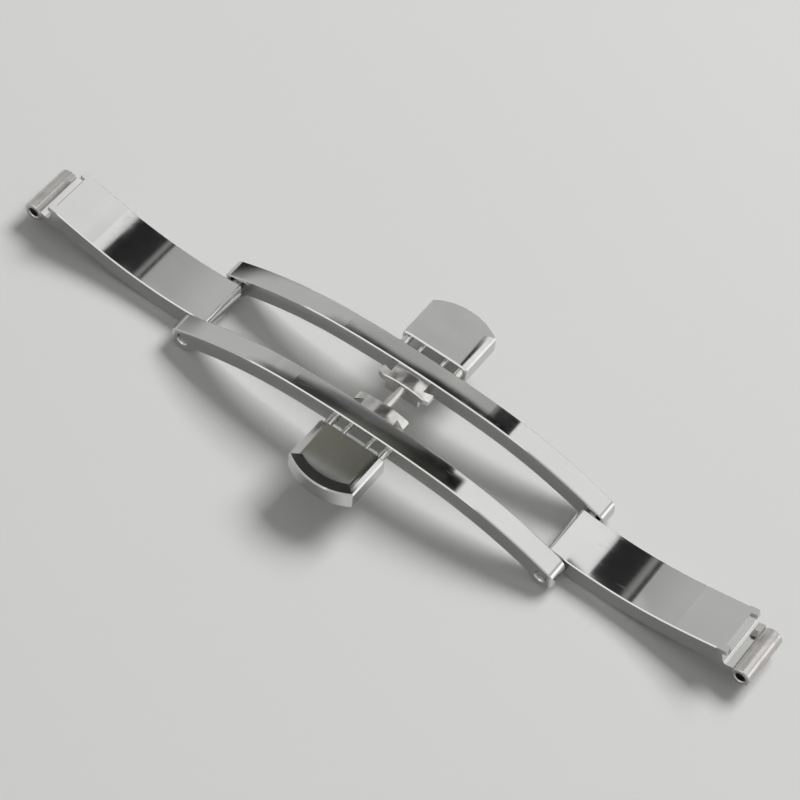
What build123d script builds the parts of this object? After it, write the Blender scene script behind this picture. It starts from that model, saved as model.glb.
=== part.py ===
from build123d import *
import math
import os

# Double-fold watch clasp, lying open with its convex side up. Millimetres.
# X runs along the side rails, +Y is the side away from the viewer, +Z is up.
# The origin is on the table under the middle of the clasp. Each wing is drawn folded shut,
# where it fills the window between the rails, and is then swung open about its hinge.

# Side rails: a gentle crown in the middle and tighter shoulders out to the hinges
crown_r = 90.0
crown_half = 7.0
shoulder_r = 36.0
hinge_x = 17.85
window_w = 5.2
rail_w = 1.9
rail_t = 1.85
rail_edge = 0.09
rail_corner = 0.5
rail_roll = 1.0
lug_r = 1.24
lug_drop = 0.19

# Hinge pins
hinge_pin_r = 0.5
hinge_play = 0.03
hinge_pin_recess = 0.18
hinge_pin_edge = 0.12
hinge_mouth = 0.1

# Wings
wing_t = 1.8
side_play = 0.17
wing_edge = 0.09
barrel_corner = 0.9
barrel_roll = 0.2
wall_x = 2.56
ear_reach = 0.5
ear_w = 0.6
ear_t = 0.5
ear_corner = 0.15
root_fillet = 0.35

# Tongue and the tube for the bracelet pin
tongue_t = 0.5
tongue_lift = 0.17
ramp_run = 1.3
weld_land = 0.55
tube_r = 0.9
tube_bore_r = 0.45
tube_x = 1.14
tube_edge = 0.08

# Push buttons
button_half = 3.15
button_gap = 1.05
button_depth = 4.2
button_bulge = 1.0
button_t = 1.8
button_drop = 0.3
button_edge = 0.12
button_roll = 0.7
button_roll_drop = 0.14
button_soften = 2.5

# Posts and guide pins that carry the buttons through the rails
pin_depth = 0.93
post_x = 2.58
post_r = 0.37
post_in_rail = 0.75
post_in_button = 1.6
guide_x = 1.12
guide_r = 0.23
guide_in_latch = 0.9
guide_in_button = 1.6
slide_play = 0.03
pin_edge = 0.06
travel = 0.9

# Latch blocks between the rails
latch_drop = 0.35
latch_inner = 1.15
latch_t = 1.75
latch_half = 1.6
latch_seat = 0.03
arm_t = 0.85
arm_reach = 2.42
arm_tip_y = 2.1
arm_root_y = 1.75
arm_corner_x = 0.42
arm_corner_y = 0.16
arm_drop = 0.36
latch_edge = 0.08

# Guide sleeve between the latch blocks and the coil spring inside it
sleeve_r = 0.36
sleeve_bore_r = 0.26
sleeve_len = 3.0
sleeve_play = 0.03
socket_wall = 0.14
spring_r = 0.17
spring_wire_r = 0.045
spring_pitch = 0.5
spring_end_gap = 0.02

overrun = 1.0

# Worked out from the sizes above
hinge_depth = lug_r - lug_drop
barrel_r = hinge_depth
hinge_z = lug_r
join_angle = math.asin(crown_half / crown_r)
shoulder_x = (crown_r - shoulder_r) * math.sin(join_angle)
hinge_angle = math.asin((hinge_x - shoulder_x) / (shoulder_r - hinge_depth))
shoulder_z = hinge_z - (shoulder_r - hinge_depth) * math.cos(hinge_angle)
crown_z = shoulder_z - (crown_r - shoulder_r) * math.cos(join_angle) + crown_r
# The open wings rest on the table with the hinge lugs, which sets how far they swing
table_lean = math.acos((shoulder_r - lug_r) / (shoulder_r - hinge_depth))
swing = 180 + math.degrees(table_lean - hinge_angle)

window_half = window_w / 2
rail_outer = window_half + rail_w
wing_w = window_w - 2 * side_play
latch_top = crown_z - latch_drop
tongue_under = latch_top + tongue_lift
tube_z = tongue_under + tube_r
pin_z = crown_z - pin_depth
button_inner = rail_outer + button_gap
button_corner = button_inner + button_depth
button_top = crown_z - button_drop
hinge_station = shoulder_x + shoulder_r * math.sin(hinge_angle)
latch_back = window_half - latch_seat
latch_bow_r = (arm_reach**2 + arm_drop**2) / (2 * arm_drop)
socket_floor = latch_back - socket_wall


def surface_point(x, depth):
    """Point of the arched surface over x, set in by a depth square to it."""
    side = 1 if x >= 0 else -1
    reach = abs(x)
    if reach <= crown_half:
        centre_x, centre_z, radius = 0, crown_z - crown_r, crown_r
    else:
        centre_x, centre_z, radius = shoulder_x, shoulder_z, shoulder_r
    angle = math.asin((reach - centre_x) / radius)
    across = centre_x + (radius - depth) * math.sin(angle)
    return (side * across, centre_z + (radius - depth) * math.cos(angle))


def surface_arcs(stations, depth):
    """Arcs along the arched surface from station to station."""
    arcs = []
    for start, end in zip(stations, stations[1:]):
        ends = surface_point(start, depth), surface_point(end, depth)
        arcs.append(ThreePointArc(ends[0], surface_point((start + end) / 2, depth), ends[1]))
    return arcs


def band(stations, upper, lower):
    """Flat outline of the arched strip between two depths."""
    top = surface_arcs(stations, upper)
    bottom = surface_arcs(stations, lower)
    ends = [
        Line(surface_point(stations[0], upper), surface_point(stations[0], lower)),
        Line(surface_point(stations[-1], upper), surface_point(stations[-1], lower)),
    ]
    return make_face(top + bottom + ends)


def eased(outline, places, radius):
    """Outline with its corners nearest to some places rounded."""
    picked = [outline.vertices().sort_by_distance((*place, 0))[0] for place in places]
    return fillet(picked, radius)


def crossing(radius, depth, outward):
    """Place along the surface where a circle about the hinge meets the curve at a depth."""
    far, near = shoulder_r - hinge_depth, shoulder_r - depth
    turn = math.acos((far**2 + near**2 - radius**2) / (2 * far * near))
    return shoulder_x + shoulder_r * math.sin(hinge_angle + outward * turn)


def slab(outline, width):
    """Outline in the XZ plane, drawn out to a width about the middle."""
    return extrude(Plane.XZ * outline, amount=width / 2, both=True)


def bevelled(outline, width, edge):
    """Upright plate about the middle whose two rims are bevelled: outline(inset) is its side view."""
    places = (width / 2 - edge, 0), (width / 2, edge)
    plate = slab(outline(0), width - 2 * edge)
    for side in (-1, 1):
        rims = [Plane.XZ.offset(side * place) * outline(inset) for place, inset in places]
        plate += loft(rims, ruled=True)
    return plate


def trimming(reach, width, corner):
    """Upright block with rounded corners, as wide as a piece, that the piece's ends are trimmed to."""
    block = Box(2 * reach, width, 4 * crown_z)
    return fillet(block.edges().filter_by(Axis.Z), corner)


def rod_y(radius, start, end, x, z):
    """Round bar along Y between two places."""
    bar = Cylinder(radius, abs(end - start), rotation=(90, 0, 0))
    return Pos(x, (start + end) / 2, z) * bar


def rail_outline(inset):
    """Side view of a rail, drawn in by an inset."""
    lug = lug_r - inset
    upper, lower = inset, rail_t - inset
    tip = crossing(lug, upper, 1)
    heel = crossing(lug, lower, -1)
    edges = surface_arcs([-tip, -crown_half, crown_half, tip], upper)
    edges += surface_arcs([-heel, -crown_half, crown_half, heel], lower)
    for side in (-1, 1):
        ends = surface_point(side * tip, upper), surface_point(side * heel, lower)
        lowest = (side * hinge_x, hinge_z - lug)
        edges.append(ThreePointArc(ends[0], lowest, ends[1]))
    places = [surface_point(side * tip, upper) for side in (-1, 1)]
    return eased(make_face(edges), places, rail_roll - inset)


def rail():
    """Far side rail, with its hinge lugs and the holes for the button's posts and guides."""
    body = bevelled(rail_outline, rail_w, rail_edge)
    body &= trimming(hinge_x + lug_r, rail_w, rail_corner)
    body = Pos(0, (window_half + rail_outer) / 2, 0) * body
    for side in (-1, 1):
        start = window_half - overrun
        body -= rod_y(hinge_pin_r, start, rail_outer + overrun, side * hinge_x, hinge_z)
        mouth_r = hinge_pin_r + hinge_mouth
        mouth = Cone(mouth_r, hinge_pin_r, hinge_mouth, rotation=(90, 0, 0))
        body -= Pos(side * hinge_x, rail_outer - hinge_mouth / 2, hinge_z) * mouth
        post_stop = rail_outer - post_in_rail - travel - slide_play
        body -= rod_y(post_r + slide_play, post_stop, rail_outer + overrun, side * post_x, pin_z)
        body -= rod_y(guide_r + slide_play, start, rail_outer + overrun, side * guide_x, pin_z)
    return body


def hinge_pin():
    """Right hinge pin, held in both rails with its ends a little below their faces."""
    reach = rail_outer - hinge_pin_recess
    pin = rod_y(hinge_pin_r, -reach, reach, hinge_x, hinge_z)
    return chamfer(pin.edges().filter_by(GeomType.CIRCLE), hinge_pin_edge)


def wing_outline(inset):
    """Side view of the folded right wing, its plate and hinge barrel drawn in by an inset."""
    upper, lower = inset, wing_t - inset
    barrel = barrel_r - inset
    tip = crossing(barrel, lower, 1)
    ramp_foot = wall_x + ramp_run
    strip_top = tongue_under + tongue_t
    strip_end = tube_x + weld_land
    wall_foot = surface_point(wall_x, lower)
    edges = surface_arcs([wall_x, crown_half, tip], lower)
    edges += surface_arcs([ramp_foot, crown_half, hinge_station], upper)
    ends = surface_point(tip, lower), surface_point(hinge_station, upper)
    edges.append(ThreePointArc(ends[0], (hinge_x + barrel, hinge_z), ends[1]))
    corner = (wall_x, tongue_under)
    edges += Polyline(
        surface_point(ramp_foot, upper),
        (wall_x + tongue_t, strip_top),
        (strip_end, strip_top),
        (strip_end, tongue_under),
        corner,
        wall_foot,
    ).edges()
    outline = eased(make_face(edges), [corner], root_fillet)
    return eased(outline, [surface_point(tip, lower)], barrel_roll - inset)


def folded_wing():
    """Folded right wing as one solid."""
    body = bevelled(wing_outline, wing_w, wing_edge)
    body &= trimming(hinge_x + barrel_r, wing_w, barrel_corner)
    body -= rod_y(tube_r, -window_w, window_w, tube_x, tube_z)
    ear_outline = band([wall_x - ear_reach, wall_x + ear_reach], wing_t - ear_t, wing_t)
    ear_y = wing_w / 2 - ear_w / 2
    for side in (-1, 1):
        ear = slab(ear_outline, ear_w)
        tip = ear.faces().sort_by(Axis.X)[0]
        ear = fillet(tip.edges() - tip.edges().filter_by(Axis.Y), ear_corner)
        body += Pos(0, side * ear_y, 0) * ear
    return body - rod_y(hinge_pin_r + hinge_play, -window_w, window_w, hinge_x, hinge_z)


def opened(piece):
    """Swing a folded piece of the right wing open about its hinge."""
    return Pos(hinge_x, 0, hinge_z) * Rot(0, swing, 0) * Pos(-hinge_x, 0, -hinge_z) * piece


def wing():
    """Right wing, open."""
    return opened(folded_wing())


def link_tube():
    """Tube at the end of the right wing that the bracelet's pin goes through."""
    tube = rod_y(tube_r, -wing_w / 2, wing_w / 2, tube_x, tube_z)
    tube -= rod_y(tube_bore_r, -window_w, window_w, tube_x, tube_z)
    rims = tube.faces().filter_by(Axis.Y).edges()
    return opened(chamfer(rims, tube_edge))


def rolled_top(reach, lowered):
    """Points from the foot of a button's side, out at a reach, over its bevelled rim to the plateau."""
    slope = button_roll_drop / button_roll
    rim = button_top - button_roll_drop - lowered
    return [
        (reach, button_top - button_t),
        (reach, rim - button_edge),
        (reach - button_edge, rim + slope * button_edge),
        (reach - button_roll, button_top - lowered),
    ]


def softened(points, corners):
    """Outline through some points, with the shallow corners beside a button's plateau rounded."""
    return eased(make_face(Polyline(*points, close=True)), corners, button_soften)


def end_view(lowered):
    """Outline of a button seen from the rail, its top lowered by a little."""
    right = rolled_top(button_half, lowered)
    left = [(-across, height) for across, height in reversed(right)]
    return softened([*right, *left], [right[-1], left[0]])


def bow_cutter():
    """Ring that trims a button's outer side to its bow and rolls its top down there."""
    bow_r = (button_half**2 + button_bulge**2) / (2 * button_bulge)
    side = rolled_top(bow_r, 0)
    low, high = button_top - button_t - overrun, button_top + overrun
    inner, outer = bow_r - 2 * button_roll, bow_r + button_half
    ring = [(bow_r, low), *side[1:], (inner, button_top), (inner, high), (outer, high), (outer, low)]
    cutter = revolve(Plane.XZ * softened(ring, side[-1:]), Axis.Z)
    return Pos(0, button_corner + button_bulge - bow_r, 0) * cutter


def button():
    """Far push button, its top rolled down towards the ends and the bowed outer side."""
    places = (button_inner, button_edge), (button_inner + button_edge, 0)
    rim = loft([Plane.XZ.offset(-place) * end_view(lowered) for place, lowered in places], ruled=True)
    body = rim + extrude(rim.faces().sort_by(Axis.Y)[-1], amount=button_depth + button_bulge)
    body -= bow_cutter()
    for side in (-1, 1):
        deep = button_inner + post_in_button
        body -= rod_y(post_r, button_inner - overrun, deep, side * post_x, pin_z)
        deep = button_inner + guide_in_button
        body -= rod_y(guide_r, button_inner - overrun, deep, side * guide_x, pin_z)
    return body


def post(x):
    """Outer post, fixed in the far button and sliding in a blind hole of the rail."""
    bar = rod_y(post_r, rail_outer - post_in_rail, button_inner + post_in_button, x, pin_z)
    return chamfer(bar.edges().filter_by(GeomType.CIRCLE), pin_edge)


def guide_pin(x):
    """Inner pin that ties the far button to its latch block through the rail."""
    start = latch_back - guide_in_latch
    bar = rod_y(guide_r, start, button_inner + guide_in_button, x, pin_z)
    return chamfer(bar.edges().filter_by(GeomType.CIRCLE), pin_edge)


def latch_block():
    """Far latch block: a body against the rail and two arms that hook over the wings' ears."""
    half = [
        (0, latch_inner),
        (arm_reach - arm_corner_x, latch_inner),
        (arm_reach, latch_inner + arm_corner_y),
        (arm_reach, arm_tip_y),
        (latch_half, arm_root_y),
        (0, arm_root_y),
    ]
    arm = extrude(make_face(Polyline(*half, close=True)), amount=-arm_t)
    deep = latch_back - latch_inner
    body = Box(2 * latch_half, deep, latch_t, align=(Align.CENTER, Align.MIN, Align.MAX))
    body = Pos(0, latch_inner, 0) * body + arm + mirror(arm, about=Plane.YZ)
    bow = Box(4 * arm_reach, 4 * window_w, 4 * arm_drop) - rod_y(
        latch_bow_r, -window_w, window_w, 0, -latch_bow_r
    )
    body = Pos(0, 0, latch_top) * (body - bow)
    rims = body.edges().filter_by(GeomType.CIRCLE).group_by(Axis.Y)[0]
    body = chamfer(rims.sort_by(Axis.Z)[-1], latch_edge)
    body -= rod_y(sleeve_r + sleeve_play, latch_inner - overrun, socket_floor, 0, pin_z)
    for side in (-1, 1):
        start = latch_back - guide_in_latch
        body -= rod_y(guide_r, start, latch_back + overrun, side * guide_x, pin_z)
    return body


def guide_sleeve():
    """Smooth sleeve whose ends sit in the sockets of both latch blocks."""
    sleeve = rod_y(sleeve_r, -sleeve_len / 2, sleeve_len / 2, 0, pin_z)
    return sleeve - rod_y(sleeve_bore_r, -sleeve_len, sleeve_len, 0, pin_z)


def return_spring():
    """Coil spring inside the sleeve that pushes the latch blocks apart."""
    reach = socket_floor - spring_end_gap - spring_wire_r
    path = Helix(spring_pitch, 2 * reach, spring_r)
    section = Plane(path @ 0, z_dir=path % 0) * Circle(spring_wire_r)
    coil = sweep(section, path=path, is_frenet=True)
    return Pos(0, reach, pin_z) * Rot(90, 0, 0) * coil


def save(name, piece):
    export_step(piece, f"parts/{name}.step")


os.makedirs("parts", exist_ok=True)
across = Plane.XZ
along = Plane.YZ

save("far_rail", rail())
save("near_rail", mirror(rail(), about=across))
for name, piece in (("hinge_pin", hinge_pin()), ("wing", wing()), ("link_tube", link_tube())):
    save(f"right_{name}", piece)
    save(f"left_{name}", mirror(piece, about=along))
for name, piece in (
    ("button", button()),
    ("left_post", post(-post_x)),
    ("right_post", post(post_x)),
    ("left_guide_pin", guide_pin(-guide_x)),
    ("right_guide_pin", guide_pin(guide_x)),
    ("latch_block", latch_block()),
):
    save(f"far_{name}", piece)
    save(f"near_{name}", mirror(piece, about=across))
save("guide_sleeve", guide_sleeve())
save("return_spring", return_spring())
print("wings swing", round(swing, 3), "degrees about", hinge_x, hinge_z)
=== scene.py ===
import math

import bpy
from bpy.props import FloatProperty, FloatVectorProperty, PointerProperty
from mathutils import Matrix, Vector

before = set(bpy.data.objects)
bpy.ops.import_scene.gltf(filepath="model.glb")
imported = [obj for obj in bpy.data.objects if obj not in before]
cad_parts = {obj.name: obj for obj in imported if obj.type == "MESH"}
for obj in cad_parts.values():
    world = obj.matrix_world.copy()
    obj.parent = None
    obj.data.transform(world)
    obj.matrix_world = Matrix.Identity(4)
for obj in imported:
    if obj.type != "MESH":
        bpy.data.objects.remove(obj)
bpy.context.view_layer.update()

bl_info = {
    "name": "Butterfly Clasp Finishes",
    "version": (1, 0, 0),
    "blender": (4, 5, 0),
    "location": "View3D > Sidebar > Clasp",
    "description": "Gives the parts of an open butterfly clasp their steel finishes and a studio table",
    "category": "Object",
}

# Patterns: how often each one repeats in a metre, along X, Y and Z
HAND_WAVES = (130.0, 420.0, 420.0)
POLISHING_LINES = (900.0, 26000.0, 26000.0)
LONG_SCRATCHES = (240.0, 9000.0, 9000.0)
HANDLING_MARKS = (260.0, 260.0, 260.0)
TUBE_DRAWING = (15000.0, 500.0, 15000.0)
TUBE_WEAR = (1400.0, 900.0, 1400.0)
CAP_GRAIN = (1800.0, 16000.0, 16000.0)
CAP_CLOUDS = (420.0, 420.0, 420.0)
LATCH_CHATTER = (14000.0, 900.0, 14000.0)
LATCH_STAINS = (1100.0, 1100.0, 1100.0)
LATCH_GRINDING = (1300.0, 1300.0, 1300.0)
PIN_WEAR = (900.0, 900.0, 900.0)
WIRE_HEAT = (1500.0, 700.0, 1500.0)
WIRE_DRAWING = (9000.0, 9000.0, 9000.0)
TABLE_TOOTH = (2600.0, 2600.0, 2600.0)
TABLE_CLOUDS = (9.0, 9.0, 9.0)

# Bump depths in metres that no setting changes
WIRE_DRAWING_DEPTH = 0.0000008
TABLE_TOOTH_DEPTH = 0.000004

# Length in metres of one band of the wave texture at a scale of 1
WAVE_BAND = 0.314

# Sockets of the Mix node when it mixes colours
MIX_FIRST = 6
MIX_SECOND = 7
MIX_RESULT = 2

UP = Vector((0.0, 0.0, 1.0))
CLASP_MIDDLE = Vector((0.0, 0.0, 0.0))

# Table: gap under the clasp, roughness and specular level
TABLE_GAP = 0.00002
TABLE_BLUR = 0.62
TABLE_GLOSS = 0.25

STUDIO_TINT = (1.0, 1.0, 0.985)

# Key lamp: azimuth and elevation in degrees and distance, then width and height
KEY_LAMP_PLACE = (165.0, 48.0, 0.9)
KEY_LAMP_SIZE = (0.5, 0.4)

# Camera: sensor in millimetres, shift in shares of the frame, nearest and farthest distance
SENSOR_WIDTH = 36.0
CAMERA_SHIFT = (0.0016, -0.00098)
CAMERA_REACH = (0.01, 10.0)

# Distance from a card's middle to its edge, in the card's own coordinates
CARD_EDGE = 0.5


def colour(name, description, default):
    return FloatVectorProperty(
        name=name,
        description=description,
        subtype="COLOR",
        size=3,
        min=0.0,
        max=1.0,
        default=default,
    )


def share(name, description, default):
    return FloatProperty(
        name=name,
        description=description,
        subtype="FACTOR",
        min=0.0,
        max=1.0,
        default=default,
    )


def length(name, description, default):
    return FloatProperty(
        name=name,
        description=description,
        subtype="DISTANCE",
        unit="LENGTH",
        default=default,
        precision=6,
    )


def angle(name, description, degrees):
    return FloatProperty(
        name=name,
        description=description,
        subtype="ANGLE",
        unit="ROTATION",
        default=math.radians(degrees),
    )


class RailSettings(bpy.types.PropertyGroup):
    """Mirror polish of the two bowed rails."""

    steel: colour("Steel", "Colour of the polished rails", (0.66, 0.66, 0.65))
    roughness: share("Roughness", "Blur of the rails' mirror polish", 0.05)
    hairline: length("Hairline depth", "Depth of the lengthwise polishing hairlines", 0.00000003)
    swell: length("Swell depth", "Depth of the slow waves that hand polishing leaves", 0.0000016)


class WingSettings(bpy.types.PropertyGroup):
    """Mirror polish of the two folding wings."""

    steel: colour("Steel", "Colour of the polished wings", (0.67, 0.67, 0.66))
    roughness: share("Roughness", "Blur of the wings' mirror polish", 0.045)
    hairline: length("Hairline depth", "Depth of the lengthwise polishing hairlines", 0.00000003)
    swell: length("Swell depth", "Depth of the slow waves that hand polishing leaves", 0.0000014)


class TubeSettings(bpy.types.PropertyGroup):
    """Satin finish of the link tubes at the wing ends."""

    steel: colour("Steel", "Colour of the drawn link tubes", (0.63, 0.61, 0.60))
    roughness: share("Roughness", "Blur of the tubes' satin finish", 0.24)
    scratch: length("Scratch depth", "Depth of the drawing marks along the tubes", 0.0000008)


class ButtonSettings(bpy.types.PropertyGroup):
    """Polish of the two push buttons."""

    steel: colour("Steel", "Colour of the button caps", (0.65, 0.65, 0.64))
    roughness: share("Roughness", "Blur of the caps' polish", 0.09)
    grain: length("Grain depth", "Depth of the fine lapping grain on the caps", 0.00000006)


class LatchSettings(bpy.types.PropertyGroup):
    """Milled finish of the latch blocks."""

    steel: colour("Steel", "Colour of the milled latch blocks", (0.70, 0.69, 0.67))
    roughness: share("Roughness", "Blur of the milled faces", 0.10)
    pitch: length("Mill pitch", "Distance between the cutter marks", 0.00011)
    groove: length("Mill depth", "Depth of the cutter marks", 0.0000003)
    wobble: length("Wobble depth", "Depth of the uneven patches that hand grinding leaves", 0.000006)


class PinSettings(bpy.types.PropertyGroup):
    """Turned finish of the hinge pins, posts, guide pins and guide sleeve."""

    steel: colour("Steel", "Colour of the turned pins", (0.71, 0.70, 0.68))
    roughness: share("Roughness", "Blur of the turned surfaces", 0.13)
    pitch: length("Turning pitch", "Distance between the turning marks", 0.00006)
    groove: length("Turning depth", "Depth of the turning marks", 0.0000005)


class SpringSettings(bpy.types.PropertyGroup):
    """Drawn wire of the return spring."""

    steel: colour("Steel", "Colour of the spring wire", (0.52, 0.51, 0.49))
    heat: colour("Heat tint", "Straw tint that tempering leaves on the wire", (0.46, 0.39, 0.29))
    roughness: share("Roughness", "Blur of the drawn wire", 0.26)


class StageSettings(bpy.types.PropertyGroup):
    """Table, surroundings, lamp and camera."""

    table: colour("Table", "Colour of the pale table top", (0.80, 0.80, 0.79))
    table_size: length("Table size", "Side of the square table top", 3.0)
    surroundings: share("Surroundings", "Brightness of the pale studio round the clasp", 0.60)
    fill: share("Fill light", "Brightness of the even light from all sides", 0.24)
    key_power: FloatProperty(
        name="Key lamp power",
        description="Power of the large soft lamp behind the clasp",
        subtype="POWER",
        unit="POWER",
        min=0.0,
        default=6.4,
    )
    lens: FloatProperty(
        name="Lens",
        description="Focal length of the camera",
        subtype="DISTANCE_CAMERA",
        unit="CAMERA",
        min=1.0,
        default=144.504,
    )
    distance: length("Camera distance", "Distance from the camera to the point it looks at", 0.2615)
    azimuth: angle("Camera azimuth", "Turn of the camera round the clasp", 28.98)
    elevation: angle("Camera elevation", "Height of the camera above the table as an angle", 55.16)
    roll: angle("Camera roll", "Tilt of the camera about its own line of sight", 8.69)
    aim: FloatVectorProperty(
        name="Aim",
        description="Point on the table that the camera looks at",
        subtype="XYZ",
        unit="LENGTH",
        size=3,
        default=(-0.001089, 0.002803, 0.0),
        precision=6,
    )


SETTINGS = {
    "clasp_rails": RailSettings,
    "clasp_wings": WingSettings,
    "clasp_tubes": TubeSettings,
    "clasp_buttons": ButtonSettings,
    "clasp_latches": LatchSettings,
    "clasp_pins": PinSettings,
    "clasp_spring": SpringSettings,
    "clasp_stage": StageSettings,
}


class Signal:
    """A shader socket that can be used in sums, so that an expression adds its Math nodes."""

    def __init__(self, finish, socket):
        self.finish = finish
        self.socket = socket

    def math(self, operation, *terms):
        return self.finish.add("ShaderNodeMath", {"operation": operation}, dict(enumerate(terms)))

    def __add__(self, other):
        return self.math("ADD", self, other)

    __radd__ = __add__

    def __sub__(self, other):
        return self.math("SUBTRACT", self, other)

    def __rsub__(self, other):
        return self.math("SUBTRACT", other, self)

    def __mul__(self, other):
        return self.math("MULTIPLY", self, other)

    __rmul__ = __mul__

    def __abs__(self):
        return self.math("ABSOLUTE", self)

    def most(self, other):
        return self.math("MAXIMUM", self, other)

    def swing(self):
        """How far a pattern goes above and below its middle value."""
        return self - 0.5


class Finish:
    """One material or world, whose nodes all come from add."""

    def __init__(self, owner):
        owner.use_nodes = True
        self.owner = owner
        self.tree = owner.node_tree
        self.tree.nodes.clear()

    def add(self, kind, settings=None, values=None, result=0):
        """Adds a node with its settings, gives its sockets values or links, and returns an output."""
        node = self.tree.nodes.new(kind)
        for name, value in (settings or {}).items():
            if name == "stops":
                self.set_stops(node.color_ramp, value)
            else:
                setattr(node, name, value)
        for name, value in (values or {}).items():
            if isinstance(value, Signal):
                self.tree.links.new(value.socket, node.inputs[name])
            else:
                node.inputs[name].default_value = value
        return Signal(self, node.outputs[result]) if len(node.outputs) else node

    def set_stops(self, ramp, stops):
        for place, _ in stops[2:]:
            ramp.elements.new(place)
        for element, (place, shade) in zip(ramp.elements, stops):
            element.position = place
            element.color = (*shade, 1.0)

    def place(self):
        return self.add("ShaderNodeTexCoord", result="Object")

    def across_and_up(self):
        """X and Y of the place, each on its own."""
        node = self.add("ShaderNodeSeparateXYZ", None, {"Vector": self.place()}).socket.node
        return Signal(self, node.outputs["X"]), Signal(self, node.outputs["Y"])

    def noise(self, per_metre, detail, rough):
        stretched = self.add(
            "ShaderNodeMapping",
            {"vector_type": "POINT"},
            {"Vector": self.place(), "Scale": per_metre},
        )
        return self.add(
            "ShaderNodeTexNoise",
            {"noise_dimensions": "3D", "normalize": True},
            {"Vector": stretched, "Scale": 1.0, "Detail": detail, "Roughness": rough},
        )

    def cutter_marks(self, direction, pitch, distortion, detail_scale):
        """Marks that follow each other along the direction, one pitch apart."""
        return self.add(
            "ShaderNodeTexWave",
            {"wave_type": "BANDS", "bands_direction": direction, "wave_profile": "SIN"},
            {
                "Vector": self.place(),
                "Scale": WAVE_BAND / pitch,
                "Distortion": distortion,
                "Detail": 2.0,
                "Detail Scale": detail_scale,
            },
            result="Fac",
        )

    def ease(self, value, low, high):
        """0 up to low, 1 from high on, and a smooth rise between them."""
        return self.add(
            "ShaderNodeMapRange",
            {"interpolation_type": "SMOOTHSTEP"},
            {"Value": value, "From Min": low, "From Max": high},
        )

    def blend(self, mask, first, second):
        return self.add(
            "ShaderNodeMix",
            {"data_type": "RGBA", "blend_type": "MIX"},
            {"Factor": mask, MIX_FIRST: self.solid(first), MIX_SECOND: self.solid(second)},
            result=MIX_RESULT,
        )

    def shades(self, mask, tint, bare, marked):
        """The tint times bare where the mask is 0, and times marked where it is 1."""
        return self.blend(mask, scaled(tint, bare), scaled(tint, marked))

    def solid(self, tint):
        return tint if isinstance(tint, Signal) else (*tint, 1.0)

    def bump(self, height, distance, under=None):
        values = {"Strength": 1.0, "Distance": distance, "Height": height}
        if under is not None:
            values["Normal"] = under
        return self.add("ShaderNodeBump", None, values)

    def surface(self, shader):
        self.add("ShaderNodeOutputMaterial", None, {"Surface": shader})
        return self.owner

    def metal(self, tint, roughness, normal):
        shader = self.add(
            "ShaderNodeBsdfPrincipled",
            None,
            {"Base Color": tint, "Metallic": 1.0, "Roughness": roughness, "Normal": normal},
        )
        return self.surface(shader)


def scaled(tint, by):
    return tuple(value * by for value in tint)


def dress(nodes, material):
    """Puts the material on every slot of these parts."""
    for name in nodes:
        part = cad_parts[name]
        if not part.material_slots:
            part.data.materials.append(material)
        for slot in part.material_slots:
            slot.material = material


# In each sum for the blur below, the number beside a mark is how much blur the mark adds.


def handling_marks(finish):
    """Broad, faint marks that handling leaves on a polished face."""
    return finish.ease(finish.noise(HANDLING_MARKS, detail=3.0, rough=0.55), low=0.48, high=0.72)


def mirror_polish(name, s):
    """Mirror polish with hairlines along the part, faint handling marks and a slow swell."""
    finish = Finish(bpy.data.materials.new(name))
    steel = tuple(s.steel)
    waves = finish.noise(HAND_WAVES, detail=1.0, rough=0.4)
    lines = finish.noise(POLISHING_LINES, detail=2.0, rough=0.6)
    scratches = finish.noise(LONG_SCRATCHES, detail=2.0, rough=0.6)
    few = finish.ease(scratches, low=0.60, high=0.74)
    tint = finish.shades(finish.ease(waves, low=0.3, high=0.7), steel, bare=0.985, marked=1.015)
    tint = finish.blend(few * 0.35, tint, scaled(steel, 0.86))
    blur = s.roughness + handling_marks(finish) * 0.035 + few * 0.06 + lines.swing() * 0.03
    swollen = finish.bump(waves, s.swell)
    combed = finish.bump(lines * 0.5 + scratches * 0.5, s.hairline, swollen)
    return finish.metal(tint, blur, combed)


class CLASP_OT_rails(bpy.types.Operator):
    """Polish the two bowed rails"""

    bl_idname = "clasp.rails"
    bl_label = "Rails"

    def execute(self, context):
        polished = mirror_polish("polished_rails", context.scene.clasp_rails)
        dress(["near_rail", "far_rail"], polished)
        return {"FINISHED"}


class CLASP_OT_wings(bpy.types.Operator):
    """Polish the two folding wings"""

    bl_idname = "clasp.wings"
    bl_label = "Wings"

    def execute(self, context):
        polished = mirror_polish("polished_wings", context.scene.clasp_wings)
        dress(["left_wing", "right_wing"], polished)
        return {"FINISHED"}


class CLASP_OT_tubes(bpy.types.Operator):
    """Give the link tubes their drawn satin finish"""

    bl_idname = "clasp.tubes"
    bl_label = "Link tubes"

    def execute(self, context):
        s = context.scene.clasp_tubes
        finish = Finish(bpy.data.materials.new("drawn_tubes"))
        steel = tuple(s.steel)
        drawn = finish.noise(TUBE_DRAWING, detail=3.0, rough=0.6)
        patches = finish.noise(TUBE_WEAR, detail=3.0, rough=0.6)
        worn = finish.ease(patches, low=0.42, high=0.66)
        tint = finish.shades(worn, steel, bare=1.0, marked=0.84)
        tint = finish.blend(finish.ease(drawn, low=0.5, high=0.75) * 0.5, tint, scaled(steel, 1.12))
        blur = s.roughness + worn * 0.09 + drawn.swing() * 0.14
        normal = finish.bump(drawn, s.scratch, finish.bump(patches, s.scratch * 3.0))
        dress(["left_link_tube", "right_link_tube"], finish.metal(tint, blur, normal))
        return {"FINISHED"}


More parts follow.
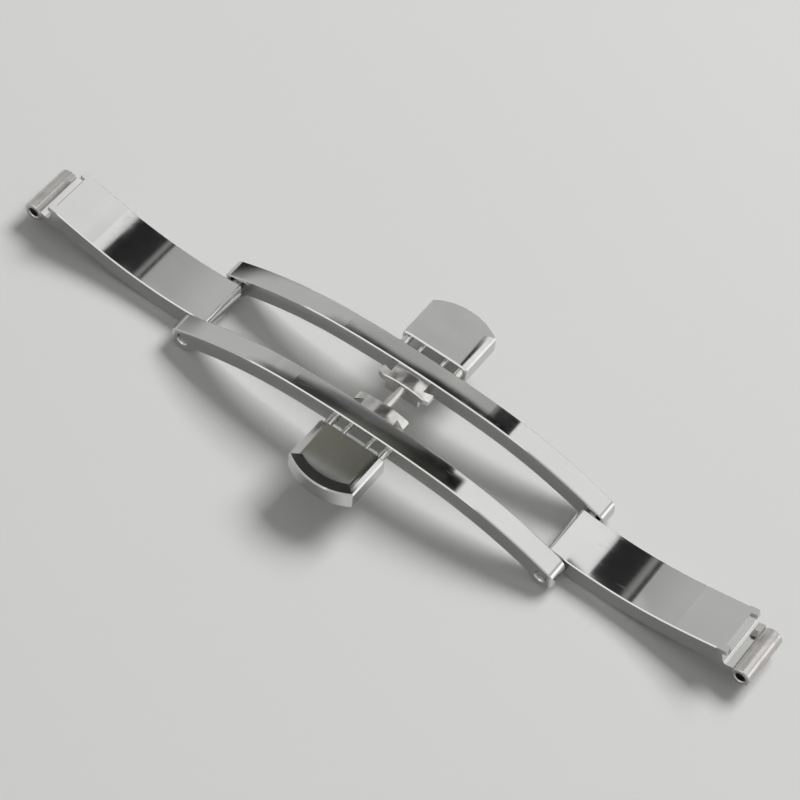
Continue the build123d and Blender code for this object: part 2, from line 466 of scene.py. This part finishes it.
class CLASP_OT_buttons(bpy.types.Operator):
    """Polish the two push buttons"""

    bl_idname = "clasp.buttons"
    bl_label = "Push buttons"

    def execute(self, context):
        s = context.scene.clasp_buttons
        finish = Finish(bpy.data.materials.new("polished_buttons"))
        steel = tuple(s.steel)
        grain = finish.noise(CAP_GRAIN, detail=2.0, rough=0.6)
        cloudy = finish.noise(CAP_CLOUDS, detail=3.0, rough=0.55)
        tint = finish.shades(finish.ease(cloudy, low=0.35, high=0.7), steel, bare=0.97, marked=1.02)
        blur = s.roughness + handling_marks(finish) * 0.04 + grain.swing() * 0.05
        normal = finish.bump(grain, s.grain, finish.bump(cloudy, s.grain * 8.0))
        dress(["near_button", "far_button"], finish.metal(tint, blur, normal))
        return {"FINISHED"}


class CLASP_OT_latches(bpy.types.Operator):
    """Give the latch blocks their milled finish"""

    bl_idname = "clasp.latches"
    bl_label = "Latch blocks"

    def execute(self, context):
        s = context.scene.clasp_latches
        finish = Finish(bpy.data.materials.new("milled_latch_blocks"))
        steel = tuple(s.steel)
        milled = finish.cutter_marks("X", s.pitch, distortion=0.6, detail_scale=1.5)
        chatter = finish.noise(LATCH_CHATTER, detail=2.0, rough=0.6)
        stains = finish.noise(LATCH_STAINS, detail=3.0, rough=0.6)
        uneven = finish.noise(LATCH_GRINDING, detail=1.0, rough=0.4)
        tint = finish.shades(finish.ease(stains, low=0.4, high=0.7), steel, bare=1.04, marked=0.88)
        blur = s.roughness + milled * 0.03 + chatter.swing() * 0.05
        grooved = finish.bump(milled, s.groove, finish.bump(uneven, s.wobble))
        normal = finish.bump(chatter, s.groove * 0.6, grooved)
        dress(["near_latch_block", "far_latch_block"], finish.metal(tint, blur, normal))
        return {"FINISHED"}


class CLASP_OT_pins(bpy.types.Operator):
    """Give the pins, posts and guide sleeve their turned finish"""

    bl_idname = "clasp.pins"
    bl_label = "Pins and sleeve"

    def execute(self, context):
        s = context.scene.clasp_pins
        finish = Finish(bpy.data.materials.new("turned_pins"))
        steel = tuple(s.steel)
        rings = finish.cutter_marks("Y", s.pitch, distortion=0.4, detail_scale=2.0)
        worn = finish.ease(finish.noise(PIN_WEAR, detail=3.0, rough=0.6), low=0.45, high=0.7)
        tint = finish.shades(worn, steel, bare=1.0, marked=0.88)
        blur = s.roughness + worn * 0.07 + rings * 0.03
        turned = finish.metal(tint, blur, finish.bump(rings, s.groove))
        pins = ["left_hinge_pin", "right_hinge_pin", "guide_sleeve"]
        for side in ("near", "far"):
            for end in ("left", "right"):
                pins += [f"{side}_{end}_post", f"{side}_{end}_guide_pin"]
        dress(pins, turned)
        return {"FINISHED"}


class CLASP_OT_spring(bpy.types.Operator):
    """Give the return spring its tempered wire finish"""

    bl_idname = "clasp.spring"
    bl_label = "Return spring"

    def execute(self, context):
        s = context.scene.clasp_spring
        finish = Finish(bpy.data.materials.new("tempered_wire"))
        heat = finish.noise(WIRE_HEAT, detail=2.0, rough=0.5)
        drawn = finish.noise(WIRE_DRAWING, detail=3.0, rough=0.6)
        tint = finish.blend(finish.ease(heat, low=0.4, high=0.68), tuple(s.steel), tuple(s.heat))
        blur = s.roughness + drawn.swing() * 0.12
        normal = finish.bump(drawn, WIRE_DRAWING_DEPTH)
        dress(["return_spring"], finish.metal(tint, blur, normal))
        return {"FINISHED"}


def heading(azimuth, elevation):
    """Direction from the clasp at this azimuth, 0 in front, and elevation, both in radians."""
    return Vector(
        (
            math.cos(elevation) * math.sin(azimuth),
            -math.cos(elevation) * math.cos(azimuth),
            math.sin(elevation),
        )
    )


def studio_place(azimuth, elevation, distance):
    """Place out in the studio, with both angles in degrees."""
    return heading(math.radians(azimuth), math.radians(elevation)) * distance


def facing(place, target):
    """Turn that points an object's own -Z from place at target, with its Y upwards."""
    return (target - place).to_track_quat("-Z", "Y").to_euler()


def make_table(s):
    bpy.ops.object.select_all(action="DESELECT")
    bpy.ops.mesh.primitive_plane_add(size=s.table_size, location=(0.0, 0.0, -TABLE_GAP))
    table = bpy.context.object
    table.name = "table_top"
    bpy.ops.object.transform_apply(location=True, rotation=True, scale=True)
    finish = Finish(bpy.data.materials.new("pale_table"))
    tooth = finish.noise(TABLE_TOOTH, detail=2.0, rough=0.6)
    clouds = finish.noise(TABLE_CLOUDS, detail=2.0, rough=0.5)
    shader = finish.add(
        "ShaderNodeBsdfPrincipled",
        None,
        {
            "Base Color": finish.shades(clouds, tuple(s.table), bare=0.985, marked=1.015),
            "Roughness": TABLE_BLUR,
            "Specular IOR Level": TABLE_GLOSS,
            "Normal": finish.bump(tooth, TABLE_TOOTH_DEPTH),
        },
    )
    table.data.materials.append(finish.surface(shader))


def make_surroundings(s):
    """Pale studio for the camera and for reflections, and a lower even light for everything else."""
    world = bpy.data.worlds.new("pale_studio")
    bpy.context.scene.world = world
    finish = Finish(world)
    camera, mirrored, clear = (
        finish.add("ShaderNodeLightPath", result=kind)
        for kind in ("Is Camera Ray", "Is Glossy Ray", "Is Transmission Ray")
    )
    looked_at = camera.most(mirrored).most(clear)
    strength = looked_at * (s.surroundings - s.fill) + s.fill
    shader = finish.add(
        "ShaderNodeBackground",
        None,
        {"Color": finish.solid(STUDIO_TINT), "Strength": strength},
    )
    finish.add("ShaderNodeOutputWorld", None, {"Surface": shader})


def make_key_lamp(s):
    """A large soft lamp behind the clasp, which reflections don't show."""
    light = bpy.data.lights.new("key_lamp", "AREA")
    light.shape = "RECTANGLE"
    light.size, light.size_y = KEY_LAMP_SIZE
    light.energy = s.key_power
    holder = bpy.data.objects.new("key_lamp", light)
    holder.location = studio_place(*KEY_LAMP_PLACE)
    holder.rotation_euler = facing(holder.location, CLASP_MIDDLE)
    holder.visible_glossy = False
    bpy.context.scene.collection.objects.link(holder)


# The cards that the steel mirrors: angles are in degrees, lengths in metres, a glow of 0 is black
# and 1 white, and soft is the share of the width and of the depth over which the edges fade.

WHITE = (1.0, 1.0, 1.0)
OLIVE = (1.0, 1.0, 0.86)
CRISP = (0.04, 0.04)

FAR_CARDS = [
    dict(
        name="white_card_back", azimuth=158.0, elevation=48.0, distance=3.0,
        size=(2.4, 2.6), glow=1.0,
    ),
    dict(
        name="white_card_front", azimuth=-18.0, elevation=30.0, distance=0.5,
        size=(0.34, 0.16), glow=1.1,
    ),
    dict(
        name="white_card_right", azimuth=115.0, elevation=16.0, distance=0.5,
        size=(0.30, 0.20), glow=1.4,
    ),
    dict(
        name="black_card_back", azimuth=-167.5, elevation=59.0, distance=2.8,
        size=(0.24, 1.0), glow=0.02,
    ),
    dict(
        name="black_card_front", azimuth=20.0, elevation=44.0, distance=2.8,
        size=(0.42, 1.5), glow=0.03, soft=(0.25, 0.1),
    ),
    dict(
        name="white_card_side", azimuth=54.0, elevation=42.0, distance=3.0,
        size=(1.2, 1.7), glow=1.0, soft=(0.15, 0.1),
    ),
]

LATCH_GLOW = [(0.0, 0.6), (0.17, 0.6), (0.20, 0.03), (0.46, 0.02), (0.50, 1.1), (1.0, 1.1)]
WING_GLOW = [(0.0, 0.04), (0.10, 0.04), (0.15, 0.30), (0.22, 0.28), (0.32, 0.03), (1.0, 0.02)]

LEVEL_CARDS = [
    # Over the near rail
    dict(
        name="grey_card_rail", middle=(-0.0083, 0.01095), size=(0.0294, 0.0030), height=0.030,
        glow=[(0.0, 0.60), (0.13, 0.28), (0.26, 0.17), (0.73, 0.13), (0.81, 0.02), (1.0, 0.0)],
        soft=(0.03, 0.2), turn=-1.6,
    ),
    dict(
        name="grey_card_inner", middle=(-0.0192, 0.01375), size=(0.0184, 0.0045), height=0.0304,
        glow=[(0.0, 0.60), (0.24, 0.50), (1.0, 0.46)],
        soft=(0.02, 0.1),
    ),
    dict(
        name="black_card_rail", middle=(-0.0170, 0.0105), size=(0.018, 0.0024), height=0.029,
        glow=[(0.0, 0.10), (0.4, 0.05), (1.0, 0.04)],
        soft=(0.1, 0.3), turn=-6.5,
    ),
    dict(
        name="fading_card_rail", middle=(-0.0209, 0.00613), size=(0.0133, 0.0016), height=0.020,
        glow=[(0.0, 0.60), (0.24, 0.43), (0.45, 0.20), (0.8, 0.08), (1.0, 0.06)],
        soft=(0.04, 0.3), turn=-11.9,
    ),
    dict(
        name="black_card_rail_right", middle=(-0.0010, 0.0096), size=(0.021, 0.0022), height=0.0288,
        glow=[(0.0, 0.08), (0.45, 0.04), (0.7, 0.0), (1.0, 0.0)],
        soft=(0.06, 0.2), turn=1.6,
    ),
    # Over the near button
    dict(
        name="grey_card_button", middle=(-0.0052, 0.0067), size=(0.0236, 0.0062), height=0.028,
        glow=[(0.0, 0.20), (0.30, 0.20), (0.55, 0.12), (0.75, 0.04), (1.0, 0.03)],
        soft=(0.04, 0.12), tint=OLIVE,
    ),
    dict(
        name="white_card_button", middle=(0.0052, 0.0054), size=(0.0040, 0.0044), height=0.0279,
        glow=[(0.0, 1.1), (1.0, 1.1)],
        soft=(0.15, 0.1),
    ),
    dict(
        name="black_card_button", middle=(-0.0052, -0.0030), size=(0.0236, 0.0136), height=0.028,
        glow=[(0.0, 0.05), (1.0, 0.03)],
    ),
    # Over the latch blocks
    dict(
        name="card_near_latch", middle=(-0.0010, 0.0072), size=(0.018, 0.0015), height=0.020,
        glow=LATCH_GLOW,
        soft=(0.02, 0.1),
    ),
    dict(
        name="card_far_latch", middle=(-0.0010, 0.0109), size=(0.018, 0.0013), height=0.020,
        glow=LATCH_GLOW,
        soft=(0.02, 0.1),
    ),
    # Over the far rail and the far button
    dict(
        name="black_card_far", middle=(-0.0205, 0.0191), size=(0.025, 0.0020), height=0.030,
        glow=[(0.0, 0.16), (0.4, 0.08), (0.8, 0.03), (1.0, 0.03)],
        soft=(0.24, 0.24), turn=-6.6,
    ),
    dict(
        name="black_card_far_right", middle=(-0.0025, 0.01775), size=(0.0215, 0.0018), height=0.0298,
        glow=[(0.0, 0.05), (0.4, 0.01), (1.0, 0.0)],
        soft=(0.06, 0.3), turn=-1.5,
    ),
    dict(
        name="fading_card_end", middle=(-0.0696, 0.0379), size=(0.0693, 0.006), height=0.030,
        glow=[(0.0, 0.015), (0.20, 0.06), (0.54, 0.37), (0.78, 0.60), (1.0, 0.60)],
        soft=(0.03, 0.1), turn=-22.6, slant=-1.6,
    ),
    dict(
        name="card_far_button", middle=(0.0025, 0.0222), size=(0.0096, 0.0048), height=0.030,
        glow=[(0.0, 0.45), (0.10, 0.03), (0.42, 0.02), (0.50, 1.1), (1.0, 1.1)],
        soft=(0.02, 0.1),
    ),
    dict(
        name="grey_card_far", middle=(-0.0240, 0.0387), size=(0.028, 0.0040), height=0.0602,
        glow=[(0.0, 0.48), (1.0, 0.48)],
        soft=(0.2, 0.3), turn=-4.0,
    ),
    # Over the wings
    dict(
        name="grey_card_right", middle=(-0.0091, 0.0415), size=(0.0158, 0.012), height=0.0603,
        glow=[(0.0, 0.60), (0.12, 0.60), (0.47, 0.55), (1.0, 0.46)],
        soft=(0.02, 0.1),
    ),
    dict(
        name="black_card_left", middle=(-0.0372, 0.0330), size=(0.0068, 0.0090), height=0.060,
        glow=WING_GLOW,
        soft=(0.02, 0.04),
    ),
    dict(
        name="grey_card_left", middle=(-0.0483, 0.0359), size=(0.0186, 0.0080), height=0.0602,
        glow=[(0.0, 0.60), (0.25, 0.56), (0.6, 0.48), (1.0, 0.46)],
        soft=(0.02, 0.1), turn=-15.0,
    ),
    dict(
        name="black_card_right", middle=(0.0042, 0.0364), size=(0.0104, 0.0092), height=0.060,
        glow=WING_GLOW,
        soft=(0.02, 0.04),
    ),
    dict(
        name="black_card_ends", middle=(-0.163, 0.093), size=(0.110, 0.034), height=0.060,
        glow=[(0.0, 0.02), (1.0, 0.02)],
        soft=(0.4, 0.35), turn=-24.7,
    ),
    dict(
        name="white_card_end", middle=(-0.0277, 0.0307), size=(0.0034, 0.0075), height=0.0601,
        glow=[(0.0, 0.86), (1.0, 0.86)],
        soft=(0.25, 0.1),
    ),
    dict(
        name="white_card_wing", middle=(0.0147, 0.0362), size=(0.0106, 0.0100), height=0.060,
        glow=[(0.0, 1.0), (1.0, 1.0)],
    ),
]


def card_light(name, stops, soft, slant):
    """Light that follows the stops along a card and fades out at its edges."""
    finish = Finish(bpy.data.materials.new(name))
    across, up = finish.across_and_up()
    inside = finish.ease(CARD_EDGE - abs(across), low=0.0, high=soft[0])
    inside = inside * finish.ease(CARD_EDGE - abs(up), low=0.0, high=soft[1])
    along = across + up * slant + CARD_EDGE
    shade = finish.add("ShaderNodeValToRGB", {"stops": stops}, {"Fac": along})
    clear = finish.add("ShaderNodeBsdfTransparent")
    light = finish.add("ShaderNodeEmission", None, {"Color": shade})
    return finish.surface(finish.add("ShaderNodeMixShader", None, {0: inside, 1: clear, 2: light}))


def make_card(name, place, target, size, stops, soft, turn=0.0, slant=0.0):
    """A card at this place, turned towards the target, that only reflections show."""
    bpy.ops.object.select_all(action="DESELECT")
    bpy.ops.mesh.primitive_plane_add(size=1.0, location=(0.0, 0.0, 0.0))
    board = bpy.context.object
    board.name = name
    board.location = place
    board.rotation_euler = facing(place, target)
    board.rotation_euler.rotate_axis("Z", math.radians(turn))
    board.scale = (*size, 1.0)
    board.data.materials.append(card_light(name, stops, soft, slant))
    board.visible_camera = False
    board.visible_diffuse = False
    board.visible_transmission = False
    board.visible_volume_scatter = False
    board.visible_shadow = False


def far_card(name, azimuth, elevation, distance, size, glow, soft=CRISP):
    """A card of one brightness out in the studio, with both angles in degrees."""
    stops = [(0.0, scaled(WHITE, glow)), (1.0, scaled(WHITE, glow))]
    place = studio_place(azimuth, elevation, distance)
    make_card(name, place, CLASP_MIDDLE, size, stops, soft)


def level_card(name, middle, size, height, glow, soft=CRISP, turn=0.0, slant=0.0, tint=WHITE):
    """A small card that lies level over the clasp, turned about the vertical.

    Its glow goes from its left end, 0, to its right end, 1, and the slant shifts that between
    its front edge and its back one.
    """
    stops = [(along, scaled(tint, level)) for along, level in glow]
    place = Vector((*middle, height))
    make_card(name, place, place - UP, size, stops, soft, turn, slant)


def make_camera(s):
    shot = bpy.data.cameras.new("studio_camera")
    shot.lens = s.lens
    shot.sensor_width = SENSOR_WIDTH
    shot.sensor_fit = "HORIZONTAL"
    shot.shift_x, shot.shift_y = CAMERA_SHIFT
    shot.clip_start, shot.clip_end = CAMERA_REACH
    shot.dof.use_dof = False
    towards = heading(s.azimuth, s.elevation)
    right = (-towards).cross(UP).normalized()
    up = right.cross(-towards)
    across = math.cos(s.roll) * right + math.sin(s.roll) * up
    rising = math.cos(s.roll) * up - math.sin(s.roll) * right
    turned = Matrix((across, rising, towards)).transposed().to_4x4()
    turned.translation = Vector(s.aim) + towards * s.distance
    holder = bpy.data.objects.new("studio_camera", shot)
    holder.matrix_world = turned
    bpy.context.scene.collection.objects.link(holder)
    bpy.context.scene.camera = holder


class CLASP_OT_stage(bpy.types.Operator):
    """Set up the table, surroundings, lamp, cards and camera"""

    bl_idname = "clasp.stage"
    bl_label = "Stage"

    def execute(self, context):
        s = context.scene.clasp_stage
        make_camera(s)
        make_table(s)
        make_surroundings(s)
        make_key_lamp(s)
        for card in FAR_CARDS:
            far_card(**card)
        for card in LEVEL_CARDS:
            level_card(**card)
        context.scene.view_settings.view_transform = "Standard"
        return {"FINISHED"}


OPERATORS = [
    CLASP_OT_stage,
    CLASP_OT_rails,
    CLASP_OT_wings,
    CLASP_OT_tubes,
    CLASP_OT_buttons,
    CLASP_OT_latches,
    CLASP_OT_pins,
    CLASP_OT_spring,
]


class CLASP_PT_panel(bpy.types.Panel):
    """Sizes, colours and operators of the clasp"""

    bl_idname = "CLASP_PT_panel"
    bl_label = "Butterfly Clasp"
    bl_space_type = "VIEW_3D"
    bl_region_type = "UI"
    bl_category = "Clasp"

    def draw(self, context):
        layout = self.layout
        for operator in OPERATORS:
            layout.operator(operator.bl_idname)
        for name, group in SETTINGS.items():
            box = layout.box()
            box.label(text=group.__doc__)
            for prop in group.__annotations__:
                box.prop(getattr(context.scene, name), prop)


def register():
    for group in SETTINGS.values():
        bpy.utils.register_class(group)
    for name, group in SETTINGS.items():
        setattr(bpy.types.Scene, name, PointerProperty(type=group))
    for operator in OPERATORS:
        bpy.utils.register_class(operator)
    bpy.utils.register_class(CLASP_PT_panel)


def unregister():
    bpy.utils.unregister_class(CLASP_PT_panel)
    for operator in reversed(OPERATORS):
        bpy.utils.unregister_class(operator)
    for name in SETTINGS:
        delattr(bpy.types.Scene, name)
    for group in reversed(SETTINGS.values()):
        bpy.utils.unregister_class(group)


def main():
    register()
    bpy.ops.clasp.stage()
    bpy.ops.clasp.rails()
    bpy.ops.clasp.wings()
    bpy.ops.clasp.tubes()
    bpy.ops.clasp.buttons()
    bpy.ops.clasp.latches()
    bpy.ops.clasp.pins()
    bpy.ops.clasp.spring()


if __name__ == "__main__":
    main()
